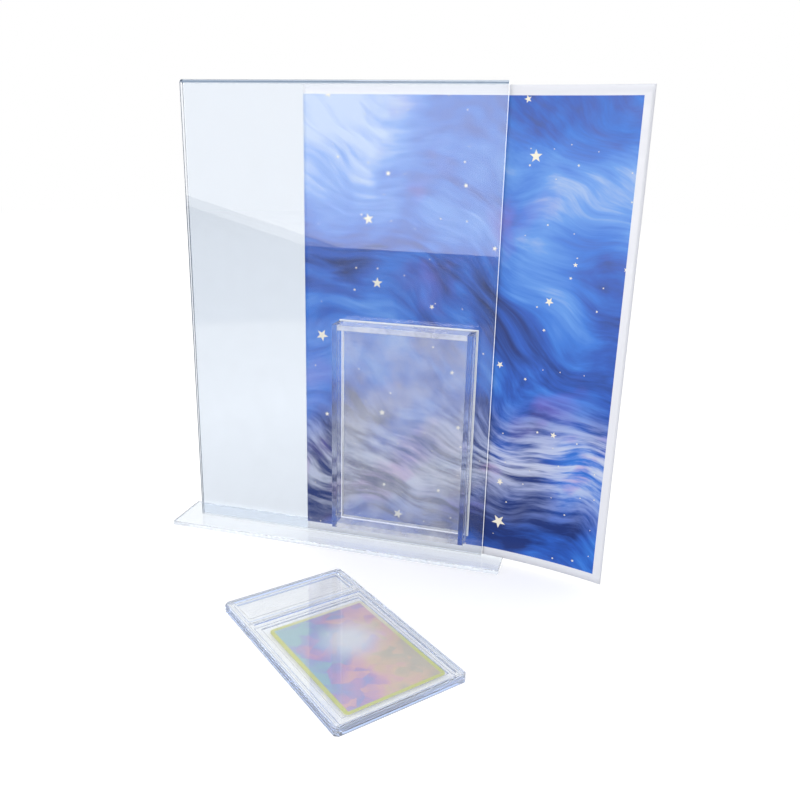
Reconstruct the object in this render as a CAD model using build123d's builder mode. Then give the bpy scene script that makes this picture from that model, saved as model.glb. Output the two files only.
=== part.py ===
from build123d import *

import os
from math import asin, atan2, cos, hypot, sin

# Display stand for one graded trading card: a clear sheet is folded over into a sleeve that takes
# a printed art insert from the side, stands on a base plate and carries a four-bar recess for the
# card holder. The sealed holder, with its card, lies on the table in front of the stand.
#
# Frame: millimetres, X along the panel to the right, Y to the back, Z up, with the origin at the
# middle of the base plate's underside.

# ---------------------------------------------------------------- driving dimensions

# Bonds and polished edges
glue_line = 0.05  # adhesive film between two bonded acrylic faces
polished_edge = 0.3  # bevel left by flame polishing on thick acrylic
sheet_edge = 0.2  # the same on the folded sheet

# Base plate
base_length = 247.2
base_depth = 39.0
base_thickness = 3.0
base_corner_radius = 1.0

# Folded panel: one sheet bent over at the top, its two legs leaning together towards the foot
panel_width = 218.2
panel_height = 313.0  # from the base plate to the crown of the fold
sheet_thickness = 1.5
slot_at_fold = 2.4  # inner width of the bend
slot_at_foot = 0.9
panel_setback = 1.1  # the sleeve's middle plane, behind the middle of the base plate

# Recess frame on the front sheet
frame_width = 94.9
frame_height = 146.8
frame_depth = 16.0
bar_thickness = 3.6
frame_side_margin = 11.3  # from the frame to the panel's right edge
frame_lift = 13.5  # from the base plate to the frame
recess_depth = 9.0  # from the front of the bars to the back pane
back_pane_thickness = 3.0
back_pane_play = 0.2  # between the back pane and the bars, all round

# Printed art insert, pulled part of the way out of the sleeve
insert_width = 216.0
insert_height = 310.0
insert_thickness = 0.3
insert_rest_gap = 0.4  # running gap between the insert's lower edge and the base plate
insert_pulled_out = 85.4  # from the fully pushed-in place

# Card holder: two welded shells, lying askew on the table
slab_width = 82.5
slab_length = 136.5
slab_thickness = 6.1
slab_corner_cut = 2.0
slab_place = (47.5, -128.6)
slab_turn = 50.04  # degrees from the panel's direction
shell_bevel = 0.8  # round the outer faces
seam_height = 3.05
seam_bevel = 0.35  # on both shells, so that the seam shows as a groove
weld_gap = 0.05  # between the two shells

# Windows, sunk into the outer face of each shell
window_side_rim = 4.8
window_end_rim = 3.5
window_sink = 0.7
window_wall_slope = 30.0  # degrees that the window's walls lean out from upright
window_corner_radius = 1.2
label_window_length = 22.0
divider_width = 6.9

# Wells inside the shells, for the label and for the card
label_well_margin = 1.6  # the label's well is this much smaller than its window, all round
label_well_depth = 0.4
card_well_depth_front = 0.35
card_well_depth_back = 0.6
card_side_play = 1.75  # between the card and its well on each side, when the card is centred
card_end_play = 0.45
card_head_play = 3.2
card_well_end_rim = 7.25  # from the holder's lower end to the card's well

# Weld tongue on the front shell, in a groove in the back shell
tongue_inset = 2.6  # from the shell's side to the tongue's middle
tongue_width = 1.0
tongue_height = 0.6
tongue_clearance = 0.1

# Trading card
card_width = 63.5
card_length = 88.9
card_thickness = 0.35
card_corner_radius = 3.2
card_shift = 1.4  # the card has slipped this far to the right in its well
card_lay_gap = 0.1  # between the card and the floor of its well

# ---------------------------------------------------------------- shared places

# The sleeve's outline is a hairpin: a half round fold whose legs lean in by a small angle, so that
# the inner faces stand slot_at_foot apart on the base plate. Heights are from the base plate.
foot_level = base_thickness + glue_line
fold_radius = slot_at_fold / 2
crown_height = panel_height - glue_line
fold_centre_height = crown_height - fold_radius - sheet_thickness
foot_half_gap = slot_at_foot / 2
foot_distance = hypot(foot_half_gap, fold_centre_height)
lean = asin(fold_radius / foot_distance) - atan2(foot_half_gap, fold_centre_height)

# Plane of the front sheet's outer face: x to the right from the panel's middle, y up the sheet from
# the foot, z out of the sheet towards the viewer.
front_foot_y = panel_setback - foot_half_gap - sheet_thickness / cos(lean)
front_face = Plane(
    origin=(0, front_foot_y, foot_level),
    x_dir=(1, 0, 0),
    z_dir=(0, -cos(lean), -sin(lean)),
)
bond_face = front_face.offset(glue_line)

frame_right = panel_width / 2 - frame_side_margin
frame_left = frame_right - frame_width
recess_width = frame_width - 2 * bar_thickness
recess_height = frame_height - 2 * bar_thickness

# The holder's own plane, on the table: x across it, y towards its label end.
slab_across = Vector(1, 0, 0).rotate(Axis.Z, slab_turn)
slab_floor = Plane(origin=(*slab_place, 0), x_dir=slab_across, z_dir=(0, 0, 1))
back_shell_top = seam_height - weld_gap / 2
front_shell_bottom = seam_height + weld_gap / 2

window_width = slab_width - 2 * window_side_rim
label_window_top = slab_length / 2 - window_end_rim
label_window_centre = label_window_top - label_window_length / 2
card_window_top = label_window_top - label_window_length - divider_width
card_window_length = card_window_top + slab_length / 2 - window_end_rim
card_window_centre = card_window_top - card_window_length / 2
divider_centre = card_window_top + divider_width / 2

card_well_width = card_width + 2 * card_side_play
card_well_length = card_length + card_end_play + card_head_play
card_well_bottom = card_well_end_rim - slab_length / 2
card_well_centre = card_well_bottom + card_well_length / 2
card_centre = card_well_bottom + card_end_play + card_length / 2


# ---------------------------------------------------------------- shared outlines


def hairpin(reach, mode=Mode.ADD):
    """Leaning hairpin, filled, whose legs and fold stay `reach` from the fold's centre line."""
    side_y = reach * cos(lean)
    side_z = foot_level + fold_centre_height - reach * sin(lean)
    foot_y = foot_half_gap + (reach - fold_radius) / cos(lean)
    crown_z = foot_level + fold_centre_height + reach
    with BuildLine() as outline:
        Line((panel_setback - foot_y, foot_level), (panel_setback - side_y, side_z))
        ThreePointArc(
            (panel_setback - side_y, side_z),
            (panel_setback, crown_z),
            (panel_setback + side_y, side_z),
        )
        Line((panel_setback + side_y, side_z), (panel_setback + foot_y, foot_level))
        Line((panel_setback + foot_y, foot_level), (panel_setback - foot_y, foot_level))
    make_face(outline.edges(), mode=mode)


def holder_outline():
    """Plan of the card holder, with its cut corners."""
    outline = Rectangle(slab_width, slab_length)
    chamfer(outline.vertices(), slab_corner_cut)


def holder_windows():
    """The label's window and the card's window, one on each side of the divider."""
    with Locations((0, label_window_centre)):
        RectangleRounded(window_width, label_window_length, window_corner_radius)
    with Locations((0, card_window_centre)):
        RectangleRounded(window_width, card_window_length, window_corner_radius)


def label_well():
    """Plan of the label's well."""
    with Locations((0, label_window_centre)):
        Rectangle(window_width - 2 * label_well_margin, label_window_length - 2 * label_well_margin)


def card_well():
    """Plan of the card's well."""
    with Locations((0, card_well_centre)):
        Rectangle(card_well_width, card_well_length)


def weld_track(width):
    """Ladder that the weld follows: round the rim and across the divider."""
    inner_width = slab_width - 2 * tongue_inset - width
    track_top = slab_length / 2 - tongue_inset
    Rectangle(inner_width + 2 * width, 2 * track_top + width)
    for low, high in (
        (-track_top + width / 2, divider_centre - width / 2),
        (divider_centre + width / 2, track_top - width / 2),
    ):
        with Locations((0, (low + high) / 2)):
            Rectangle(inner_width, high - low, mode=Mode.SUBTRACT)


os.makedirs("parts", exist_ok=True)

# ---------------------------------------------------------------- the stand

with BuildPart() as base_plate:
    with BuildSketch(Plane.XY):
        RectangleRounded(base_length, base_depth, base_corner_radius)
    extrude(amount=base_thickness)
    chamfer(edges().group_by(Axis.Z)[-1] + edges().group_by(Axis.Z)[0], polished_edge)

base_plate.part.label = "base_plate"
export_step(base_plate.part, "parts/base_plate.step")

with BuildPart() as folded_panel:
    with BuildSketch(Plane.YZ.offset(-panel_width / 2)):
        hairpin(fold_radius + sheet_thickness)
        hairpin(fold_radius, mode=Mode.SUBTRACT)
    extrude(amount=panel_width)
    for sheet_end in faces().sort_by(Axis.X)[0], faces().sort_by(Axis.X)[-1]:
        chamfer(sheet_end.edges(), sheet_edge)

folded_panel.part.label = "folded_panel"
export_step(folded_panel.part, "parts/folded_panel.step")

# ---------------------------------------------------------------- the recess frame

# Each bar's left side, foot, width and height on the bond face. The side bars run the whole height
# and the other two stand between them.
right_bar_left = frame_right - bar_thickness
cross_bar_left = frame_left + bar_thickness + glue_line
cross_bar_width = recess_width - 2 * glue_line
top_bar_foot = frame_lift + frame_height - bar_thickness
frame_bars = {
    "frame_left_bar": (frame_left, frame_lift, bar_thickness, frame_height),
    "frame_right_bar": (right_bar_left, frame_lift, bar_thickness, frame_height),
    "frame_bottom_bar": (cross_bar_left, frame_lift, cross_bar_width, bar_thickness),
    "frame_top_bar": (cross_bar_left, top_bar_foot, cross_bar_width, bar_thickness),
}
for bar_name, (bar_left, bar_foot, bar_width, bar_height) in frame_bars.items():
    with BuildPart() as bar:
        with BuildSketch(bond_face):
            with Locations((bar_left, bar_foot)):
                Rectangle(bar_width, bar_height, align=(Align.MIN, Align.MIN))
        extrude(amount=frame_depth)
        chamfer(faces().sort_by(Axis.Y)[0].edges(), polished_edge)
    bar.part.label = bar_name
    export_step(bar.part, f"parts/{bar_name}.step")

with BuildPart() as recess_back_pane:
    with BuildSketch(bond_face.offset(frame_depth - recess_depth)):
        with Locations(((frame_left + frame_right) / 2, frame_lift + frame_height / 2)):
            Rectangle(recess_width - 2 * back_pane_play, recess_height - 2 * back_pane_play)
    extrude(amount=-back_pane_thickness)

recess_back_pane.part.label = "recess_back_pane"
export_step(recess_back_pane.part, "parts/recess_back_pane.step")

# ---------------------------------------------------------------- the printed insert

with BuildPart() as art_insert:
    with BuildSketch(Plane.XZ.offset(-panel_setback)):
        with Locations((insert_pulled_out, foot_level + insert_rest_gap + insert_height / 2)):
            Rectangle(insert_width, insert_height)
    extrude(amount=insert_thickness / 2, both=True)

art_insert.part.label = "art_insert"
export_step(art_insert.part, "parts/art_insert.step")

# ---------------------------------------------------------------- the card holder

with BuildPart() as slab_back_shell:
    with BuildSketch(slab_floor):
        holder_outline()
    extrude(amount=back_shell_top)
    chamfer(edges().group_by(Axis.Z)[0], shell_bevel)
    chamfer(edges().group_by(Axis.Z)[-1], seam_bevel)
    with BuildSketch(slab_floor):
        holder_windows()
    extrude(amount=window_sink, taper=window_wall_slope, mode=Mode.SUBTRACT)
    with BuildSketch(slab_floor.offset(back_shell_top)):
        label_well()
    extrude(amount=-label_well_depth, mode=Mode.SUBTRACT)
    with BuildSketch(slab_floor.offset(back_shell_top)):
        card_well()
    extrude(amount=-card_well_depth_back, mode=Mode.SUBTRACT)
    with BuildSketch(slab_floor.offset(back_shell_top)):
        weld_track(tongue_width + 2 * tongue_clearance)
    extrude(amount=-tongue_height, mode=Mode.SUBTRACT)

slab_back_shell.part.label = "slab_back_shell"
export_step(slab_back_shell.part, "parts/slab_back_shell.step")

with BuildPart() as slab_front_shell:
    with BuildSketch(slab_floor.offset(front_shell_bottom)):
        holder_outline()
    extrude(amount=slab_thickness - front_shell_bottom)
    chamfer(edges().group_by(Axis.Z)[-1], shell_bevel)
    chamfer(edges().group_by(Axis.Z)[0], seam_bevel)
    with BuildSketch(slab_floor.offset(slab_thickness)):
        holder_windows()
    extrude(amount=-window_sink, taper=window_wall_slope, mode=Mode.SUBTRACT)
    with BuildSketch(slab_floor.offset(front_shell_bottom)):
        label_well()
    extrude(amount=label_well_depth, mode=Mode.SUBTRACT)
    with BuildSketch(slab_floor.offset(front_shell_bottom)):
        card_well()
    extrude(amount=card_well_depth_front, mode=Mode.SUBTRACT)
    with BuildSketch(slab_floor.offset(front_shell_bottom)):
        weld_track(tongue_width)
    extrude(amount=-tongue_height)

slab_front_shell.part.label = "slab_front_shell"
export_step(slab_front_shell.part, "parts/slab_front_shell.step")

with BuildPart() as trading_card:
    with BuildSketch(slab_floor.offset(back_shell_top - card_well_depth_back + card_lay_gap)):
        with Locations((card_shift, card_centre)):
            RectangleRounded(card_width, card_length, card_corner_radius)
    extrude(amount=card_thickness)

trading_card.part.label = "trading_card"
export_step(trading_card.part, "parts/trading_card.step")
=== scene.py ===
from math import cos, pi, radians, sin, sqrt

import bmesh
import bpy
from mathutils import Matrix, Vector


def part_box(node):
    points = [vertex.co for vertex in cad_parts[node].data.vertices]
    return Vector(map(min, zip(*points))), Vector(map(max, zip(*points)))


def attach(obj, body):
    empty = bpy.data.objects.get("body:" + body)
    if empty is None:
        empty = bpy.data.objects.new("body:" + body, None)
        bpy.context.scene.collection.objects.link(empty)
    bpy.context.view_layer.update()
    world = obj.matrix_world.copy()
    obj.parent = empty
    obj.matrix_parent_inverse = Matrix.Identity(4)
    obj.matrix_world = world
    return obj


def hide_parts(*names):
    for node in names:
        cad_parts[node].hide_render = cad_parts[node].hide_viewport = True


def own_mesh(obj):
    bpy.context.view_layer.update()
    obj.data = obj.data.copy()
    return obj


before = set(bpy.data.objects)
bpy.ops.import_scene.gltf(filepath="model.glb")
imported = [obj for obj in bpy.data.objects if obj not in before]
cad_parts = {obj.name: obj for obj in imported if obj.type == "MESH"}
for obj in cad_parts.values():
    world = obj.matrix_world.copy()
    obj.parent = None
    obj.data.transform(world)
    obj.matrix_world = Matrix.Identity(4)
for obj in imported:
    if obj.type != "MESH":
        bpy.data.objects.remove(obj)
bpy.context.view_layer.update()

# Looks of a clear display stand for one graded trading card. Metres, in the frame of the packed
# model: X to the right along the panel, Y to the back, Z up, table top at zero.

MM = 0.001


def srgb(red, green, blue):
    """Linear colour with full alpha, from 0 to 255 display values."""
    def linear(value):
        share = value / 255
        return share / 12.92 if share <= 0.04045 else ((share + 0.055) / 1.055) ** 2.4

    return (linear(red), linear(green), linear(blue), 1.0)


def grey(value):
    return (value, value, value, 1.0)


# ---------------------------------------------------------------- named values

# Camera, at the photograph's viewing angle
CAMERA_PLACE = (0.18570, -0.51433, 0.27515)
CAMERA_YAW = -15.16  # degrees, from straight along +Y towards +X
CAMERA_PITCH = -17.14  # degrees, upwards is positive
CAMERA_ROLL = 1.41  # degrees
CAMERA_LENS = 36.575  # mm
CAMERA_SENSOR = 36.0  # mm
CAMERA_CLIP = 0.01

# Surfaces that light may go through, and that may turn it back, before it is given up
CLEAR_BOUNCES = 32
GLOSSY_BOUNCES = 24

# Floor: the table top
FLOOR_LEVEL = -0.2 * MM
FLOOR_RADIUS = 4.0
FLOOR_SIDES = 96
FLOOR_ALBEDO = 0.8
SPECKLE = 0.01  # how far the albedo strays from that
SPECKLE_SCALE = 900.0
FLOOR_GLOW = 0.42  # the floor's own light near the stand
FAR_GLOW = 0.62  # and far from it, where the lamps don't reach
GLOW_REACH = (0.4, 2.0)  # distances at which the near glow ends and the far one is full
RIM_REACH = (2.2, 3.2)  # the same for the plain white rim, which meets the backdrop unseen

# The floor as mirrors see it: how bright it is from the stand outwards, and how far each part reaches
BASE_SHEEN = 1.2  # in a strip along the base plate
BASE_STRIP = 0.03  # half the strip's depth
BASE_STRIP_BLUR = 5 * MM
FOOT_SHEEN = 0.1  # close to the middle of the stand
FOOT_REACH = 0.05
NEAR_SHEEN = 0.82  # at the end of the near part
NEAR_TABLE = 0.4
MIDDLE_SHEEN = 0.75
MIDDLE_TABLE = 0.78
SHEEN_BLUR = 0.03

# Room: a white backdrop behind the stand, and a darker side where the viewer is
AMBIENT = 0.6  # the room's light on the object
WHITE_LEVEL = 1.0  # backdrop and far floor, as they show through the clear parts
BACKDROP_SIDE = 0.3  # how far round the white backdrop fades into the darker room
ROOM_COLOUR = (0.25, 0.31, 0.4, 1.0)
CEILING_LOW = 0.5  # sine of the height at which the white backdrop begins to dim
CEILING_HIGH = 0.8
CEILING_COLOUR = (0.5, 0.6, 0.76, 1.0)

# Where the panel mirrors the lower edge of the side softbox: two points of the panel's front face
PANEL_FACE_Y = -1.5 * MM
SOFTBOX_EDGE_LEFT = Vector((-0.105, PANEL_FACE_Y, 0.239))
SOFTBOX_EDGE_RIGHT = Vector((-0.020, PANEL_FACE_Y, 0.2165))

# Lamps, with their power in watts
SOFTBOX_DISTANCE = 1.66
SOFTBOX_SIZE = (1.6, 0.6)
SOFTBOX_POWER = 13.5
SOFTBOX_COLOUR = (1.0, 0.96, 0.91)
LIP_HEIGHT = 0.028  # dimmer border below the softbox
LIP_SHARE = 0.45  # its brightness, as a share of the softbox's
TOP_LIGHT_PLACE = (0.1, 0.1, 1.5)
TOP_LIGHT_SIZE = 1.0
TOP_LIGHT_POWER = 8.0
BACK_LIGHT_PLACE = Vector((0.05, 1.6, 0.9))  # it lights the back of the insert, and not the floor
BACK_LIGHT_AIM = Vector((0.05, 0.0, 0.16))
BACK_LIGHT_POWER = 8.0

# Clear plastics
NOISE_SPREAD = (0.3, 0.7)  # nearly all values of a noise lie between these
ACRYLIC_IOR = 1.49
STYRENE_IOR = 1.57
SMEAR_SCALE = 60.0
SMEAR_SPREAD = (0.45, 0.75)  # values of the noise where smears begin and are full
MAX_SMEAR = 0.006  # roughness of the plastic where fingers have touched it
HAZE_SPREAD = (0.6, 1.4)  # least and most of the haze, as shares of the mean
STRAIGHT_SHARE = 0.99  # light that goes straight through to what lies behind
SHEET_TINT = srgb(239, 243, 248)
BASE_TINT = srgb(236, 241, 247)
BAR_TINT = srgb(243, 246, 251)
HOLDER_TINT = srgb(251, 252, 252)
# Painted shade: the dark line along the top of the folded sheet's bend
FOLD_PAINTED_SHADE = srgb(150, 166, 186)
FOLD_SHADE_LEVEL = 314.4 * MM  # where the painted shade on the sheet's bend begins: above it the colour is dark grey-blue
FOLD_BLUR = 0.4 * MM

# Cut edges. They are the faces that look along ends, either way, or else those that don't look along
# flat. haze is the share of light that they scatter, passed the light that goes straight through
# them, and glow a painted glint: emission that makes the edges look lit, though they are no lamp. With
# shaded_left_end, the faces that look left get painted shade instead, dark blue-grey and without glint.
END_SPREAD = (0.6, 0.7)  # how squarely a face looks along an axis: where it begins to count, and counts
FLAT_SPREAD = (0.6, 0.85)
EDGE_CLOUD_SCALE = 400.0
EDGE_CLOUD_SPREAD = (0.8, 1.2)  # least and most of the edges' haze, as shares of the mean
LEFTWARDS = (-1.0, 0.0, 0.0)
# Painted shade: colour of the cut faces that look left, for the dark lines these edges show
LEFT_END_SHADE = srgb(96, 112, 138)
# In each set, glow is a painted glint: emission on the cut edges, which are no lamp
SHEET_EDGES = dict(
    ends=(1.0, 0.0, 0.0), colour=srgb(240, 245, 252), haze=0.9, passed=0.0, glow=0.6, shaded_left_end=True
)
BASE_EDGES = dict(
    flat=(0.0, 0.0, 1.0), colour=srgb(226, 233, 243), haze=0.5, passed=0.9, glow=0.12, shaded_left_end=True
)
PANE_EDGES = dict(
    flat=(0.0, 1.0, 0.0), colour=BAR_TINT, haze=0.9, passed=0.9, glow=0.45, shaded_left_end=False
)
HOLDER_EDGES = dict(
    flat=(0.0, 0.0, 1.0), colour=srgb(184, 204, 242), haze=0.16, passed=0.9, glow=0.1, shaded_left_end=False
)

# Bead of cement round the frame, where it meets the folded sheet. Its near-white colour is a painted
# highlight: the bright line along the frame's top and right edges
BEAD_SIZE = 0.8 * MM
BEAD_HOLLOW = 0.35  # how far the middle of its face stands out, as a share of its size
BEAD_LOW_Y = -0.89 * MM  # the sheet's front face at the foot and at the head of the frame
BEAD_HIGH_Y = -1.25 * MM
BUBBLE_SCALE = 700.0
CEMENT_HIGHLIGHT_COLOURS = (srgb(226, 236, 248), srgb(252, 253, 255))
CEMENT_ROUGHNESS = 0.25

# Art insert, pulled part of the way out of the sleeve
INSERT_LOW, INSERT_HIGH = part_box("art_insert")
PANEL_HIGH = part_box("folded_panel")[1]
INSERT_WIDTH = INSERT_HIGH.x - INSERT_LOW.x
INSERT_HEIGHT = INSERT_HIGH.z - INSERT_LOW.z
INSERT_THICKNESS = INSERT_HIGH.y - INSERT_LOW.y
INSERT_MID_Y = (INSERT_HIGH.y + INSERT_LOW.y) / 2
INSERT_STEP = 2.5 * MM  # width of a column of the mesh; a row is twice as high
SLEEVE_EDGE = PANEL_HIGH.x - INSERT_LOW.x  # from the insert's left edge
PRINT_SIDE, BACK_SIDE, CUT_SIDE = 0, 1, 2  # places of the insert's materials

# Slope of the insert's curl at its foot and head: the step at the sleeve's edge, the gain per metre
CURL_FOOT = (0.1, 3.0)
CURL_HEAD = (0.02, 2.5)
CURL_BLUR = 6.0 * MM  # how far the step reaches to each side of the sleeve's edge

# Bare paper
MARGIN = 6.0 * MM
MARGIN_BLUR = 0.1 * MM
MARGIN_COLOUR = srgb(238, 241, 250)
FIBRE_SCALE = 1500.0
FIBRE_COLOURS = (srgb(232, 236, 247), srgb(240, 243, 250))
PAPER_ROUGHNESS = 0.5

# The print's sky. Pairs of places are metres across the print or up it, from its lower left corner.
SKY_PLACE = (1.9, 0.55, 0.0)  # which stretch of the endless pattern is printed
SKY_WARP = 0.09
WARP_SCALE = 8.0
WAVE_SCALE = 7.0
WAVE_HEIGHT = 0.5
STROKE_RATE = 26.0
STROKE_COUNT = 30.0
STROKE_RISE = (1.6, 4.6)  # how fast the strokes' own coordinate climbs across and up the sheet
STROKE_DEPTH = 0.42  # how much the strokes change the tone of the clouds
CLOUD_SCALE = 11.0
TONE_UP = (0.02, 0.24, -0.1, -0.04)  # two heights, and the change of tone at each
TONE_ACROSS = (0.1, 0.16, -0.04, 0.03)
DAWN_ACROSS = (0.15, 0.05)  # where the light corner begins and is full
DAWN_UP = (0.19, 0.24)
DAWN_LIFT = 0.24
SKY_STOPS = [
    (0.28, srgb(24, 52, 126)),
    (0.40, srgb(36, 92, 196)),
    (0.50, srgb(52, 124, 226)),
    (0.60, srgb(94, 156, 240)),
    (0.74, srgb(186, 210, 248)),
]
VIOLET_SCALE = 16.0
VIOLET_SPREAD = (0.56, 0.74)
VIOLET_SHARE = 0.4
VIOLET = srgb(146, 124, 222)
PRINT_ROUGHNESS = (0.28, 0.4)
PRINT_SPECULAR = 0.4

# The print's mist and stars
MIST_SLOPE = 0.12
MIST_LEVEL = 0.05  # height of the band of mist where it leaves the left edge
MIST_HALF = 0.058
MIST_SHARE = 0.84
MIST_SPREAD = (0.35, 0.64)  # values of the strokes where the mist begins and is full
ROSE_SCALE = 26.0
ROSE_SPREAD = (0.52, 0.66)
MIST_COLOURS = (srgb(216, 223, 245), srgb(214, 184, 228))
STAR_POINTS = 5
STAR_WAIST = 0.42  # inner radius of a star, as a share of its outer one
STAR_BLUR = 0.06
STAR_STRAY = 0.7  # how far the stars stray from their grid
STAR_SIZE_POWER = 2.5  # the higher it is, the fewer of the stars are large
STAR_COLOUR = srgb(250, 244, 226)
LARGE_STARS = dict(spacing=41.0 * MM, small=1.6 * MM, large=5.5 * MM, rarity=0.35)
SMALL_STARS = dict(spacing=17.0 * MM, small=0.5 * MM, large=1.2 * MM, rarity=0.5)

# Holder, lying askew on the table, and its card
HOLDER_TURN = radians(50.04)
CARD_MIDDLE = (0.06074, -0.13787, 0.0)
CARD_HALF = (31.75 * MM, 44.45 * MM)
CARD_BORDER = 2.4 * MM
CARD_BORDER_BLUR = 0.15 * MM
CARD_BORDER_FADE = (10.0 * MM, 60.0 * MM)  # across plus up, from the card's own middle
CARD_BORDER_COLOURS = (srgb(222, 226, 132), srgb(246, 240, 214))
CARD_RISE = (9.0, -5.0)  # change of tone per metre across and up the card
CARD_DRIFT_SCALE = 45.0
CARD_FACET_SCALE = 140.0
CARD_FACET_SPREAD = (-0.1, 0.1)
CARD_STOPS = [
    (0.12, srgb(150, 206, 214)),
    (0.30, srgb(152, 162, 222)),
    (0.44, srgb(206, 158, 206)),
    (0.58, srgb(240, 186, 190)),
    (0.72, srgb(240, 206, 164)),
    (0.90, srgb(206, 196, 160)),
]
CARD_VEIL = srgb(222, 214, 210)
CARD_VEIL_SHARE = 0.3
CARD_PAINTED_GLARE = (4.0 * MM, 12.0 * MM, 0.0)  # middle of the painted glare, a pale patch for light that the slab reflects, from the card's own middle
CARD_PAINTED_GLARE_REACH = (26.0 * MM, 4.0 * MM)
CARD_PAINTED_GLARE_SHARE = 0.85
CARD_PAINTED_GLARE_COLOUR = srgb(242, 250, 252)
CARD_ROUGHNESS = 0.3


# ---------------------------------------------------------------- helpers


class Graph:
    """A node tree with short calls. A value may be a socket, which is linked, or a plain value."""

    def __init__(self, owner):
        owner.use_nodes = True
        self.tree = owner.node_tree
        self.tree.nodes.clear()

    def node(self, kind, inputs=None, **settings):
        made = self.tree.nodes.new("ShaderNode" + kind)
        for name, value in settings.items():
            setattr(made, name, value)
        for key, value in (inputs or {}).items():
            self.feed(made.inputs[key], value)
        return made

    def feed(self, socket, value):
        if isinstance(value, bpy.types.NodeSocket):
            self.tree.links.new(value, socket)
        elif value is not None:
            socket.default_value = value

    def math(self, operation, *values):
        return self.node("Math", dict(enumerate(values)), operation=operation).outputs[0]

    def vector(self, operation, *values, output="Vector"):
        made = self.node("VectorMath", dict(enumerate(values)), operation=operation)
        return made.outputs[output]

    def split(self, vector):
        return self.node("SeparateXYZ", {0: vector}).outputs

    def mix(self, factor, first, second):
        return self.node("Mix", {"Factor": factor, 6: first, 7: second}, data_type="RGBA").outputs[2]

    def range(self, value, low, high, to_low=0.0, to_high=1.0, smooth=True):
        kind = "SMOOTHSTEP" if smooth else "LINEAR"
        inputs = dict(enumerate((value, low, high, to_low, to_high)))
        return self.node("MapRange", inputs, interpolation_type=kind).outputs[0]

    def ramp(self, factor, stops):
        made = self.node("ValToRGB", {"Fac": factor})
        elements = made.color_ramp.elements
        while len(elements) < len(stops):
            elements.new(0.5)
        for element, (place, colour) in zip(elements, stops):
            element.position = place
            element.color = colour
        return made.outputs["Color"]

    def noise(self, vector, scale, detail=2.0, roughness=0.5, output="Fac"):
        inputs = {"Vector": vector, "Scale": scale, "Detail": detail, "Roughness": roughness}
        return self.node("TexNoise", inputs).outputs[output]

    def end(self, shader, kind="Material"):
        self.tree.links.new(shader.outputs[0], self.node("Output" + kind).inputs["Surface"])


def new_material(name):
    material = bpy.data.materials.new(name)
    return material, Graph(material)


def new_object(name, bm):
    """A linked object with the bmesh as its mesh. The bmesh is freed."""
    mesh = bpy.data.meshes.new(name)
    bm.to_mesh(mesh)
    bm.free()
    made = bpy.data.objects.new(name, mesh)
    bpy.context.scene.collection.objects.link(made)
    return made


# ---------------------------------------------------------------- camera, room and floor


def make_camera():
    data = bpy.data.cameras.new("camera")
    data.sensor_width = CAMERA_SENSOR
    data.lens = CAMERA_LENS
    data.clip_start = CAMERA_CLIP
    camera = bpy.data.objects.new("camera", data)
    bpy.context.scene.collection.objects.link(camera)
    heading = Matrix.Rotation(-radians(CAMERA_YAW), 4, "Z")
    tilt = Matrix.Rotation(radians(90 + CAMERA_PITCH), 4, "X")
    roll = Matrix.Rotation(radians(CAMERA_ROLL), 4, "Z")
    camera.matrix_world = Matrix.Translation(CAMERA_PLACE) @ heading @ tilt @ roll
    bpy.context.scene.camera = camera


def mirrored_share(g, rays):
    """1 on rays that a surface has turned back, and 0 on those that went straight through."""
    return g.math("MINIMUM", rays["Glossy Depth"], 1.0)


def bent_share(g, rays):
    """1 on rays that come from a mirror or a clear part, and 0 on others."""
    return g.math("MAXIMUM", rays["Is Glossy Ray"], rays["Is Transmission Ray"])


def make_world():
    """White backdrop behind the stand, a darker room on the viewer's side of it, plain soft light."""
    world = bpy.data.worlds.new("studio")
    bpy.context.scene.world = world
    g = Graph(world)
    rays = g.node("LightPath").outputs
    direction = g.split(g.node("TexCoord").outputs["Generated"])
    behind = g.range(direction["Y"], -BACKDROP_SIDE, BACKDROP_SIDE)
    high = g.range(direction["Z"], CEILING_LOW, CEILING_HIGH)
    mirrored = g.mix(behind, ROOM_COLOUR, g.mix(high, grey(1.0), CEILING_COLOUR))
    seen = g.mix(mirrored_share(g, rays), grey(WHITE_LEVEL), mirrored)
    colour = g.mix(bent_share(g, rays), grey(AMBIENT), seen)
    colour = g.mix(rays["Is Camera Ray"], colour, grey(1.0))
    g.end(g.node("Background", {"Color": colour}), kind="World")


def part_of_table(g, distance, reach, beyond=0.0, within=1.0):
    """One value within reach of the stand and another beyond it, with a blurred edge."""
    return g.range(distance, reach + SHEEN_BLUR, reach - SHEEN_BLUR, beyond, within)


def mirrored_table(g, place, distance):
    """The floor's light as mirrors see it: brightly lit near the stand, and dark further off."""
    foot = g.range(distance, FOOT_REACH, NEAR_TABLE - SHEEN_BLUR, FOOT_SHEEN, NEAR_SHEEN)
    depth = g.math("ABSOLUTE", g.split(place)["Y"])
    strip = g.range(depth, BASE_STRIP, BASE_STRIP - BASE_STRIP_BLUR)
    foot = g.mix(strip, foot, grey(BASE_SHEEN))
    near = part_of_table(g, distance, NEAR_TABLE, MIDDLE_SHEEN, foot)
    return g.mix(part_of_table(g, distance, MIDDLE_TABLE), ROOM_COLOUR, near)


def plain_glow(g, rays, bent, distance, rim):
    """The floor's own light as the camera and the clear parts see it. Other rays get none."""
    far = g.mix(bent, grey(FAR_GLOW), grey(WHITE_LEVEL - FLOOR_ALBEDO * AMBIENT))
    glow = g.mix(g.range(distance, *GLOW_REACH), grey(FLOOR_GLOW), far)
    glow = g.mix(rim, glow, grey(WHITE_LEVEL))
    seen = g.math("MAXIMUM", rays["Is Camera Ray"], bent)
    return g.mix(seen, grey(0.0), glow)


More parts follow.
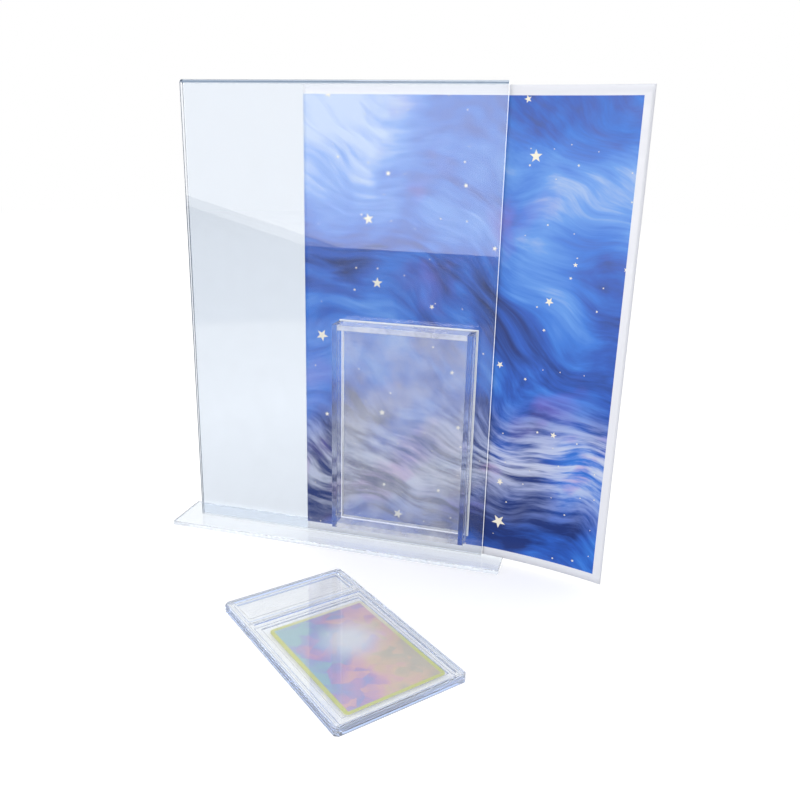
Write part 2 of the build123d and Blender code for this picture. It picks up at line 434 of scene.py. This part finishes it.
def floor_material():
    """Pale table that the camera and the clear parts see as white, with the object's shadow."""
    material, g = new_material("pale_table")
    rays = g.node("LightPath").outputs
    place = g.node("TexCoord").outputs["Object"]
    distance = g.vector("LENGTH", place, output="Value")
    bent = bent_share(g, rays)
    mirrored = g.math("MULTIPLY", bent, mirrored_share(g, rays))
    rim = g.range(distance, *RIM_REACH)
    speckle = g.noise(place, SPECKLE_SCALE, 4.0)
    albedo = g.range(speckle, *NOISE_SPREAD, FLOOR_ALBEDO - SPECKLE, FLOOR_ALBEDO + SPECKLE)
    albedo = g.mix(g.math("MAXIMUM", mirrored, rim), albedo, grey(0.0))
    glow = plain_glow(g, rays, bent, distance, rim)
    glow = g.mix(mirrored, glow, mirrored_table(g, place, distance))
    shade = g.node("BsdfDiffuse", {"Color": albedo})
    light = g.node("Emission", {"Color": glow})
    g.end(g.node("AddShader", {0: shade.outputs[0], 1: light.outputs[0]}))
    return material


def make_floor():
    bm = bmesh.new()
    bmesh.ops.create_circle(bm, cap_ends=True, segments=FLOOR_SIDES, radius=FLOOR_RADIUS)
    floor = new_object("table", bm)
    floor.location.z = FLOOR_LEVEL
    floor.data.materials.append(floor_material())
    return floor


# ---------------------------------------------------------------- lamps


def mirror_hit(point, distance):
    """Where the camera's ray lands after the panel turns it back at point, in the plane y = -distance."""
    ray = point - Vector(CAMERA_PLACE)
    ray.y = -ray.y
    return point + ray * ((-distance - point.y) / ray.y)


def area_light(name, size_x, size_y, power):
    data = bpy.data.lights.new(name, "AREA")
    data.shape = "RECTANGLE"
    data.size = size_x
    data.size_y = size_y
    data.energy = power
    lamp = bpy.data.objects.new(name, data)
    bpy.context.scene.collection.objects.link(lamp)
    lamp.visible_camera = False
    lamp.visible_transmission = False
    return lamp


def spare(lamp, piece):
    """Keeps the lamp's light off one piece."""
    spared = bpy.data.collections.new(lamp.name + "_spared")
    spared.objects.link(piece)
    spared.collection_objects[0].light_linking.link_state = "EXCLUDE"
    lamp.light_linking.receiver_collection = spared


def make_side_softbox():
    """Softbox whose lower edge, with a dimmer lip, shows as a slanting line in the panel."""
    left = mirror_hit(SOFTBOX_EDGE_LEFT, SOFTBOX_DISTANCE)
    right = mirror_hit(SOFTBOX_EDGE_RIGHT, SOFTBOX_DISTANCE)
    along = (right - left).normalized()
    up = Vector((0, 1, 0)).cross(along).normalized()
    if up.z < 0:
        up = -up
    axes = Matrix((along, up, along.cross(up))).transposed().to_4x4()
    width, height = SOFTBOX_SIZE
    lip_power = SOFTBOX_POWER * LIP_SHARE * LIP_HEIGHT / height
    softbox = area_light("side_softbox", width, height, SOFTBOX_POWER)
    lip = area_light("softbox_lip", width, LIP_HEIGHT, lip_power)
    for lamp, rise in ((softbox, height / 2), (lip, -LIP_HEIGHT / 2)):
        lamp.data.color = SOFTBOX_COLOUR
        lamp.matrix_world = Matrix.Translation((left + right) / 2 + up * rise) @ axes


def make_lights(floor):
    make_side_softbox()
    top = area_light("top_softbox", TOP_LIGHT_SIZE, TOP_LIGHT_SIZE, TOP_LIGHT_POWER)
    top.location = TOP_LIGHT_PLACE
    back = area_light("back_softbox", *SOFTBOX_SIZE, BACK_LIGHT_POWER)
    back.location = BACK_LIGHT_PLACE
    back.rotation_euler = (BACK_LIGHT_AIM - BACK_LIGHT_PLACE).to_track_quat("-Z", "Y").to_euler()
    back.visible_glossy = False
    spare(back, floor)


# ---------------------------------------------------------------- clear plastics


def facing_share(g, axis, spread, either_way=False):
    """1 on faces that look along axis and 0 on those that don't, blurred over the spread."""
    surface = g.node("NewGeometry").outputs
    along = g.vector("DOT_PRODUCT", surface["True Normal"], axis, output="Value")
    if either_way:
        along = g.math("ABSOLUTE", along)
    else:
        outward = g.math("MULTIPLY_ADD", surface["Backfacing"], -2.0, 1.0)
        along = g.math("MULTIPLY", along, outward)
    return g.range(along, *spread)


def cut_share(g, edges):
    """1 on the cut edges and 0 on the other faces."""
    if "ends" in edges:
        return facing_share(g, edges["ends"], END_SPREAD, either_way=True)
    return g.math("SUBTRACT", 1.0, facing_share(g, edges["flat"], FLAT_SPREAD, either_way=True))


def dress_edges(g, place, edges, look):
    """Gives the cut edges their own haze and colour in a clear plastic's look, with glow as a painted
    glint and, with shaded_left_end, painted shade on the ends that look left.
    """
    cut = cut_share(g, edges)
    cloud = g.range(g.noise(place, EDGE_CLOUD_SCALE), *NOISE_SPREAD, *EDGE_CLOUD_SPREAD)
    clear = g.math("SUBTRACT", 1.0, g.math("MULTIPLY", cloud, edges["haze"]))
    look["clear"] = g.node("Mix", {0: cut, 2: look["clear"], 3: clear}).outputs[0]
    look["passed"] = g.mix(cut, look["passed"], grey(edges["passed"]))
    look["colour"] = g.mix(cut, look["colour"], edges["colour"])
    # Painted glint: the cut edges give off light of their own
    look["glow"] = g.math("MULTIPLY", cut, edges["glow"])
    # Painted shade: the cut faces that look left turn dark blue-grey and lose their glint
    if edges["shaded_left_end"]:
        left = facing_share(g, LEFTWARDS, END_SPREAD)
        look["colour"] = g.mix(left, look["colour"], LEFT_END_SHADE)
        look["glow"] = g.math("MULTIPLY", look["glow"], g.math("SUBTRACT", 1.0, left))


def clear_plastic(name, tint, ior, haze, smear=MAX_SMEAR, edges=None):
    """Polished clear plastic. Light for what lies behind it goes straight through.

    haze is the share of light that the surface scatters, smear its greatest roughness, and edges
    one of the sets of values for cut edges.
    """
    material, g = new_material(name)
    place = g.node("TexCoord").outputs["Object"]
    smears = g.noise(place, SMEAR_SCALE, 3.0)
    # Painted shade: above the fold level the colour turns dark grey-blue
    fold = g.range(g.split(place)["Z"], FOLD_SHADE_LEVEL, FOLD_SHADE_LEVEL + FOLD_BLUR)
    look = {
        "clear": g.range(smears, *NOISE_SPREAD, *[1 - haze * share for share in HAZE_SPREAD]),
        "passed": grey(STRAIGHT_SHARE),
        "colour": g.mix(fold, tint, FOLD_PAINTED_SHADE),
        "glow": None,
    }
    if edges:
        dress_edges(g, place, edges, look)
    solid = g.node("BsdfPrincipled", {
        "Base Color": look["colour"],
        "Roughness": g.range(smears, *SMEAR_SPREAD, 0.0, smear),
        "IOR": ior,
        "Transmission Weight": look["clear"],
        # Emission Strength carries the painted glint of the cut edges
        "Emission Strength": look["glow"],
    })
    through = g.node("BsdfTransparent", {"Color": look["passed"]})
    rays = g.node("LightPath").outputs
    passing = g.math("MAXIMUM", rays["Is Shadow Ray"], rays["Is Diffuse Ray"])
    g.end(g.node("MixShader", {0: passing, 1: solid.outputs[0], 2: through.outputs[0]}))
    return material


# ---------------------------------------------------------------- cement bead, coloured as a painted highlight


def bead_line(out, forward):
    """A line round the top and the right of the frame, out from it and forward of the sheet."""
    low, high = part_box("frame_left_bar")[0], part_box("frame_right_bar")[1]
    points = []
    for x, z in ((low.x, high.z + out), (high.x + out, high.z + out), (high.x + out, low.z)):
        lean = (z - low.z) / (high.z - low.z)
        sheet_y = BEAD_LOW_Y + (BEAD_HIGH_Y - BEAD_LOW_Y) * lean
        points.append(Vector((x, sheet_y - forward, z)))
    return points


def make_bead():
    """Solvent cement that stands in the corner between the frame and the sheet it is bonded to,
    near-white as a painted highlight.
    """
    hollow = BEAD_SIZE * BEAD_HOLLOW
    section = [(0.0, 0.0), (BEAD_SIZE, 0.0), (hollow, hollow), (0.0, BEAD_SIZE)]
    bm = bmesh.new()
    lines = [[bm.verts.new(point) for point in bead_line(*corner)] for corner in section]
    for line, following in zip(lines, lines[1:] + lines[:1]):
        for place in range(len(line) - 1):
            bm.faces.new([line[place], following[place], following[place + 1], line[place + 1]])
    bm.faces.new([line[0] for line in lines])
    bm.faces.new([line[-1] for line in reversed(lines)])
    bmesh.ops.recalc_face_normals(bm, faces=bm.faces)
    bead = new_object("cement_highlight_bead", bm)
    bead.data.materials.append(cement())
    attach(bead, "stand")


def cement():
    material, g = new_material("cement_painted_highlight")
    bubbles = g.noise(g.node("TexCoord").outputs["Object"], BUBBLE_SCALE, 3.0)
    # Near-white colours: a painted highlight along the frame's edges
    colour = g.mix(bubbles, *CEMENT_HIGHLIGHT_COLOURS)
    g.end(g.node("BsdfPrincipled", {"Base Color": colour, "Roughness": CEMENT_ROUGHNESS}))
    return material


# ---------------------------------------------------------------- art insert


def smooth(value, low, high):
    share = min(max((value - low) / (high - low), 0.0), 1.0)
    return share * share * (3 - 2 * share)


def curl_slope(past_edge, height_share):
    """How steeply the paper turns towards the viewer, past_edge metres outside the sleeve."""
    begun = smooth(past_edge, -CURL_BLUR, CURL_BLUR)
    free = max(past_edge, 0.0)
    foot, head = [step * begun + gain * free for step, gain in (CURL_FOOT, CURL_HEAD)]
    return foot + (head - foot) * smooth(height_share, 0.0, 1.0)


def insert_line(height_share, columns):
    """Points (x, y) of the paper's middle plane at one height, from its left edge to its right."""
    points = []
    x, y = INSERT_LOW.x, INSERT_MID_Y
    step = INSERT_WIDTH / columns
    for column in range(columns + 1):
        points.append((x, y))
        slope = curl_slope((column + 0.5) * step - SLEEVE_EDGE, height_share)
        y -= slope * step / sqrt(1 + slope * slope)
        x += step / sqrt(1 + slope * slope)
    return points


def insert_verts(bm, columns, rows):
    """Vertices by row, column and side. Side 0 is printed, and side 1 is the back."""
    verts = {}
    for row in range(rows + 1):
        share = row / rows
        line = insert_line(share, columns)
        for column in range(columns + 1):
            before, after = line[max(column - 1, 0)], line[min(column + 1, columns)]
            across = Vector((after[0] - before[0], after[1] - before[1], 0)).normalized()
            out = Vector((across.y, -across.x, 0)) * INSERT_THICKNESS / 2
            middle = Vector((*line[column], INSERT_LOW.z + share * INSERT_HEIGHT))
            verts[row, column, 0] = bm.verts.new(middle + out)
            verts[row, column, 1] = bm.verts.new(middle - out)
    return verts


def cut_face(start, end, side):
    """Corners of a face across the paper's thickness, beginning on the given side."""
    other = 1 - side
    return [(*start, side), (*start, other), (*end, other), (*end, side)]


def insert_faces(columns, rows):
    """Corners and material of each face: the print and the back, and then the cut edges."""
    for row in range(rows):
        for column in range(columns):
            front = (row, column), (row, column + 1), (row + 1, column + 1), (row + 1, column)
            back = (row, column), (row + 1, column), (row + 1, column + 1), (row, column + 1)
            yield [(*corner, 0) for corner in front], PRINT_SIDE
            yield [(*corner, 1) for corner in back], BACK_SIDE
    for row in range(rows):
        yield cut_face((row, 0), (row + 1, 0), 1), CUT_SIDE
        yield cut_face((row, columns), (row + 1, columns), 0), CUT_SIDE
    for column in range(columns):
        yield cut_face((0, column), (0, column + 1), 0), CUT_SIDE
        yield cut_face((rows, column), (rows, column + 1), 1), CUT_SIDE


def make_insert():
    """One thin printed sheet, flat in the sleeve and curling forward where it is free."""
    columns = round(INSERT_WIDTH / INSERT_STEP)
    rows = round(INSERT_HEIGHT / INSERT_STEP / 2)
    bm = bmesh.new()
    uv = bm.loops.layers.uv.new("print")
    verts = insert_verts(bm, columns, rows)
    for corners, side in insert_faces(columns, rows):
        face = bm.faces.new([verts[corner] for corner in corners])
        face.material_index = side
        face.smooth = side != CUT_SIDE
        for loop, (row, column, _) in zip(face.loops, corners):
            loop[uv].uv = (column / columns * INSERT_WIDTH, row / rows * INSERT_HEIGHT)
    insert = new_object("printed_art_insert", bm)
    for make_material in (insert_print, plain_paper, plain_paper):
        insert.data.materials.append(make_material())
    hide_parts("art_insert")
    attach(insert, "insert")
    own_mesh(insert)


def plain_paper():
    material, g = new_material("paper_back")
    fibres = g.noise(g.node("TexCoord").outputs["Object"], FIBRE_SCALE, 3.0)
    colour = g.mix(fibres, *FIBRE_COLOURS)
    g.end(g.node("BsdfPrincipled", {"Base Color": colour, "Roughness": PAPER_ROUGHNESS}))
    return material


# ---------------------------------------------------------------- the insert's print


def star_shape(g, across, up, radius):
    """1 inside a star round the origin of across and up, and 0 outside."""
    turn = 2 * pi / STAR_POINTS
    inner = STAR_WAIST * cos(turn / 2)
    rise = STAR_WAIST * sin(turn / 2)
    angle = g.math("ARCTAN2", up, across)
    folded = g.math("PINGPONG", g.math("ADD", angle, 2 * pi), turn / 2)
    reach = g.math("SQRT", g.math("ADD", g.math("POWER", across, 2.0), g.math("POWER", up, 2.0)))
    along = g.math("MULTIPLY", g.math("COSINE", folded), rise)
    beside = g.math("MULTIPLY", g.math("SINE", folded), 1 - inner)
    edge = g.math("MULTIPLY", reach, g.math("ADD", along, beside))
    size = g.math("MULTIPLY", radius, rise)
    return g.range(g.math("DIVIDE", edge, size), 1 + STAR_BLUR, 1 - STAR_BLUR)


def scattered_stars(g, place, spacing, small, large, rarity):
    """Stars of random size and turn in a loose grid of cells. rarity is the share of empty cells."""
    inputs = {"Vector": place, "Scale": 1 / spacing, "Randomness": STAR_STRAY}
    cells = g.node("TexVoronoi", inputs, voronoi_dimensions="2D")
    random = g.node("SeparateColor", {0: cells.outputs["Color"]}).outputs
    offset = g.vector("SUBTRACT", place, cells.outputs["Position"])
    turn = g.math("MULTIPLY", random["Red"], 2 * pi)
    turned = g.node("VectorRotate", {"Vector": offset, "Angle": turn}, rotation_type="Z_AXIS")
    parts = g.split(turned.outputs[0])
    size = g.math("POWER", random["Green"], STAR_SIZE_POWER)
    radius = g.range(size, 0.0, 1.0, small, large, smooth=False)
    shape = star_shape(g, parts["X"], parts["Y"], radius)
    return g.math("MULTIPLY", shape, g.math("GREATER_THAN", random["Blue"], rarity))


def warped(g, place):
    """The place bent to and fro, so that nothing in the pattern runs straight."""
    shift = g.vector("SUBTRACT", g.noise(place, WARP_SCALE, output="Color"), (0.5, 0.5, 0.5))
    bend = g.node("VectorMath", {0: shift, "Scale": SKY_WARP}, operation="SCALE").outputs[0]
    return g.vector("ADD", place, bend)


def brush_strokes(g, flow):
    """Noise drawn out into long waves across the sheet."""
    wave = g.math("MULTIPLY", g.noise(flow, WAVE_SCALE, 2.0, 0.4), WAVE_HEIGHT)
    parts = g.split(flow)
    across = g.math("MULTIPLY", parts["X"], STROKE_RISE[0])
    relief = g.math("ADD", wave, g.math("MULTIPLY_ADD", parts["Y"], STROKE_RISE[1], across))
    place = g.node("CombineXYZ", {
        "X": g.math("MULTIPLY", parts["X"], STROKE_RATE),
        "Y": g.math("MULTIPLY", parts["Y"], STROKE_RATE),
        "Z": g.math("MULTIPLY", relief, STROKE_COUNT),
    })
    return g.noise(place.outputs[0], 1.0, 4.0, 0.6)


def brushed_sky(g, place, flow, strokes):
    """Clouds of blue and violet under the strokes, lightest in the upper left corner."""
    parts = g.split(place)
    lift = g.math("MULTIPLY", g.math("SUBTRACT", strokes, 0.5), STROKE_DEPTH)
    dawn = g.math("MULTIPLY", g.range(parts["X"], *DAWN_ACROSS), g.range(parts["Y"], *DAWN_UP))
    tone = g.noise(flow, CLOUD_SCALE, 3.0)
    for change in (
        lift,
        g.range(parts["Y"], *TONE_UP),
        g.math("MULTIPLY", dawn, DAWN_LIFT),
        g.range(parts["X"], *TONE_ACROSS),
    ):
        tone = g.math("ADD", tone, change)
    violet = g.range(g.noise(flow, VIOLET_SCALE, 3.0, 0.55), *VIOLET_SPREAD, 0.0, VIOLET_SHARE)
    return g.mix(violet, g.ramp(tone, SKY_STOPS), VIOLET)


def mist(g, flow, strokes, colour):
    """Pale streaks of mist, thickest in the lower part of the sheet, with a little rose in them."""
    parts = g.split(g.vector("SUBTRACT", flow, SKY_PLACE))
    band = g.math("SUBTRACT", parts["Y"], g.math("MULTIPLY", parts["X"], MIST_SLOPE))
    near = g.range(g.math("ABSOLUTE", g.math("SUBTRACT", band, MIST_LEVEL)), MIST_HALF, 0.0)
    wisps = g.range(strokes, *MIST_SPREAD)
    thick = g.math("MULTIPLY", g.math("MULTIPLY", near, wisps), MIST_SHARE)
    rose = g.range(g.noise(flow, ROSE_SCALE), *ROSE_SPREAD)
    return g.mix(thick, colour, g.mix(rose, *MIST_COLOURS))


def printed_share(g, across, up):
    """1 on the printed area, and 0 on the bare margin, which the left edge lacks."""
    right = g.range(across, INSERT_WIDTH - MARGIN + MARGIN_BLUR, INSERT_WIDTH - MARGIN)
    low = g.range(up, MARGIN - MARGIN_BLUR, MARGIN)
    high = g.range(up, INSERT_HEIGHT - MARGIN + MARGIN_BLUR, INSERT_HEIGHT - MARGIN)
    return g.math("MULTIPLY", right, g.math("MULTIPLY", low, high))


def insert_print():
    """Abstract night sky in brush strokes: blue and violet clouds, streaks of mist and pale stars."""
    material, g = new_material("insert_print")
    place = g.node("UVMap", uv_map="print").outputs["UV"]
    parts = g.split(place)
    flow = warped(g, g.vector("ADD", place, SKY_PLACE))
    strokes = brush_strokes(g, flow)
    colour = mist(g, flow, strokes, brushed_sky(g, place, flow, strokes))
    stars = [scattered_stars(g, place, **kind) for kind in (LARGE_STARS, SMALL_STARS)]
    off_edge = g.range(parts["X"], MARGIN, MARGIN + MARGIN_BLUR)
    colour = g.mix(g.math("MULTIPLY", g.math("MAXIMUM", *stars), off_edge), colour, STAR_COLOUR)
    colour = g.mix(printed_share(g, parts["X"], parts["Y"]), MARGIN_COLOUR, colour)
    g.end(g.node("BsdfPrincipled", {
        "Base Color": colour,
        "Roughness": g.range(strokes, *NOISE_SPREAD, *PRINT_ROUGHNESS),
        "Specular IOR Level": PRINT_SPECULAR,
    }))
    return material


# ---------------------------------------------------------------- the card's print and its painted glare


def card_facets(g, place, parts):
    """Soft facets of colour that change across the card, under a thin veil."""
    drift = g.noise(place, CARD_DRIFT_SCALE)
    facets = g.node("TexVoronoi", {"Vector": place, "Scale": CARD_FACET_SCALE})
    spark = g.node("SeparateColor", {0: facets.outputs["Color"]}).outputs["Red"]
    across, up = [g.math("MULTIPLY", parts[axis], rate) for axis, rate in zip("XY", CARD_RISE)]
    tone = g.math("ADD", g.math("ADD", across, up), drift)
    tone = g.math("ADD", tone, g.range(spark, 0.0, 1.0, *CARD_FACET_SPREAD))
    return g.mix(CARD_VEIL_SHARE, g.ramp(tone, CARD_STOPS), CARD_VEIL)


def picture_share(g, parts):
    """1 on the card's picture, and 0 on the border round it."""
    sides = []
    for axis, half in zip("XY", CARD_HALF):
        inner = half - CARD_BORDER
        reach = g.math("ABSOLUTE", parts[axis])
        sides.append(g.range(reach, inner + CARD_BORDER_BLUR, inner - CARD_BORDER_BLUR))
    return g.math("MULTIPLY", *sides)


def card_print():
    """Abstract card: a border of lime and cream round soft facets of colour, with a painted glare: a pale
    patch for light that the slab reflects.
    """
    material, g = new_material("card_print")
    moved = g.vector("SUBTRACT", g.node("TexCoord").outputs["Object"], CARD_MIDDLE)
    turned = g.node("VectorRotate", {"Vector": moved, "Angle": -HOLDER_TURN}, rotation_type="Z_AXIS")
    place = turned.outputs[0]
    parts = g.split(place)
    middle = g.vector("DISTANCE", place, CARD_PAINTED_GLARE, output="Value")
    # Painted glare: the picture turns pale round the glare's middle
    glow = g.range(middle, *CARD_PAINTED_GLARE_REACH, 0.0, CARD_PAINTED_GLARE_SHARE)
    picture = g.mix(glow, card_facets(g, place, parts), CARD_PAINTED_GLARE_COLOUR)
    fading = g.range(g.math("ADD", parts["X"], parts["Y"]), *CARD_BORDER_FADE)
    colour = g.mix(picture_share(g, parts), g.mix(fading, *CARD_BORDER_COLOURS), picture)
    g.end(g.node("BsdfPrincipled", {"Base Color": colour, "Roughness": CARD_ROUGHNESS}))
    return material


# ---------------------------------------------------------------- dressing the CAD nodes


def dress(material, *nodes):
    for node in nodes:
        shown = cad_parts[node]
        shown.data.materials.clear()
        shown.data.materials.append(material)


def dress_cad_nodes():
    sheet = clear_plastic(
        "sheet_acrylic", SHEET_TINT, ACRYLIC_IOR, haze=0.01, smear=0.0, edges=SHEET_EDGES
    )
    base = clear_plastic("base_acrylic", BASE_TINT, ACRYLIC_IOR, haze=0.03, edges=BASE_EDGES)
    upright_bar = clear_plastic("frame_acrylic", BAR_TINT, ACRYLIC_IOR, haze=0.02)
    level_bar = clear_plastic("frame_acrylic_hazy", BAR_TINT, ACRYLIC_IOR, haze=0.4)
    pane = clear_plastic("pane_acrylic", BAR_TINT, ACRYLIC_IOR, haze=0.15, smear=0.0, edges=PANE_EDGES)
    holder = clear_plastic("holder_styrene", HOLDER_TINT, STYRENE_IOR, haze=0.03, edges=HOLDER_EDGES)
    dress(sheet, "folded_panel")
    dress(base, "base_plate")
    dress(upright_bar, "frame_left_bar", "frame_right_bar")
    dress(level_bar, "frame_top_bar", "frame_bottom_bar")
    dress(pane, "recess_back_pane")
    dress(holder, "slab_back_shell", "slab_front_shell")
    dress(card_print(), "trading_card")


# ---------------------------------------------------------------- build

bpy.context.scene.view_settings.view_transform = "Standard"
cycles = bpy.context.scene.cycles
cycles.max_bounces = CLEAR_BOUNCES
cycles.glossy_bounces = GLOSSY_BOUNCES
cycles.transmission_bounces = CLEAR_BOUNCES
cycles.transparent_max_bounces = CLEAR_BOUNCES
make_camera()
make_world()
make_lights(make_floor())
dress_cad_nodes()
make_bead()
make_insert()

bpy.context.view_layer.update()
